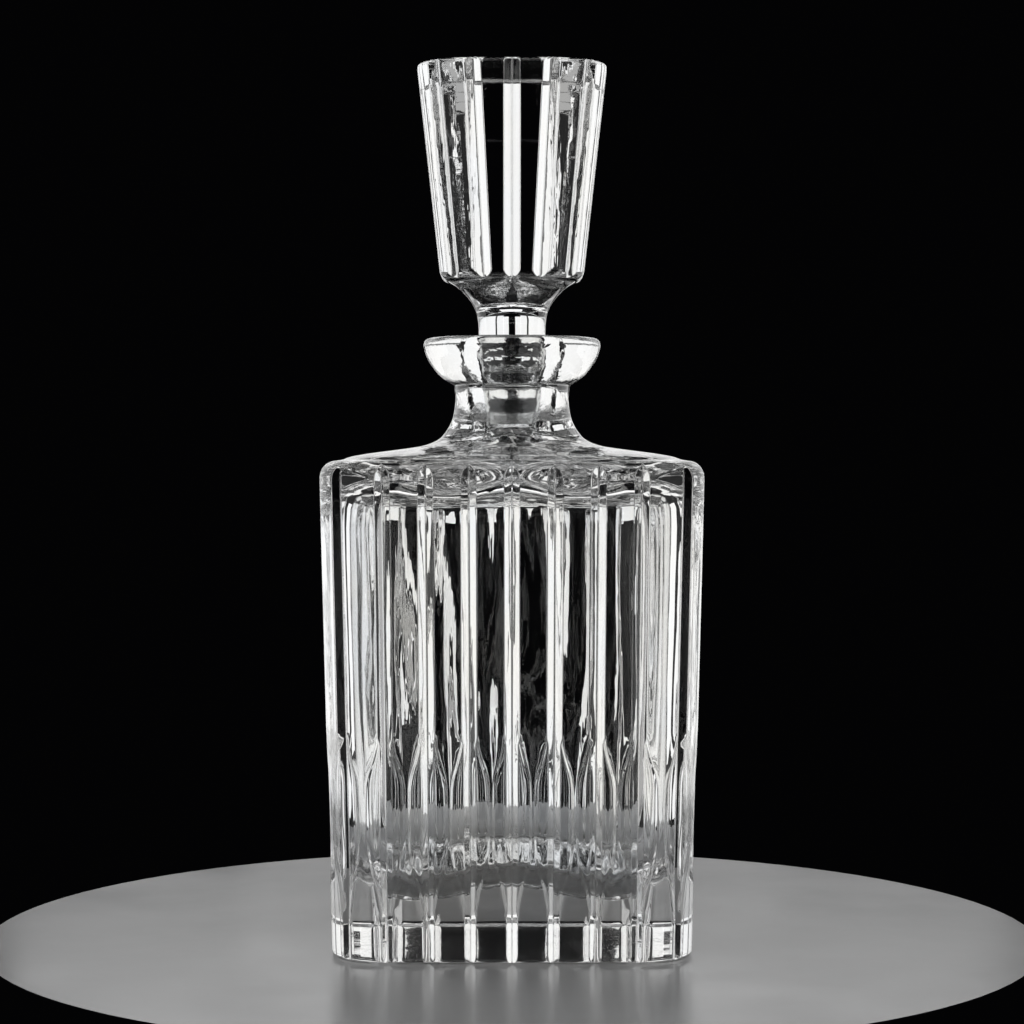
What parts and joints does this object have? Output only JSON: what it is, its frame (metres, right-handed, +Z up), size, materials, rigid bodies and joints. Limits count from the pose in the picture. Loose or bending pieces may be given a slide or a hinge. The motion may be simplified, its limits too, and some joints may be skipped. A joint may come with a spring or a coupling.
{
  "type": "cut crystal decanter",
  "caption": "Square clear crystal decanter with mitre-cut vertical grooves, a collared round neck and a flared solid stopper on a ground plug.",
  "frame": {"origin": "middle of the base, on the surface the decanter stands on", "axes": "+Z up along the neck and stopper, +X and +Y square to the four flat sides"},
  "size_m": [0.1132, 0.1132, 0.265],
  "materials": {
    "crystal": "polished clear crystal glass, taken as fine-ground on the stopper's plug and in the neck's bore"
  },
  "bodies": {
    "bottle": {"bottle": "crystal"},
    "stopper": {"stopper": "crystal"}
  },
  "joints": [
    {"name": "stopper_lift", "type": "slide", "parent": "bottle", "child": "stopper", "axis": [0, 0, 1], "range_m": [0, 0.06]}
  ]
}
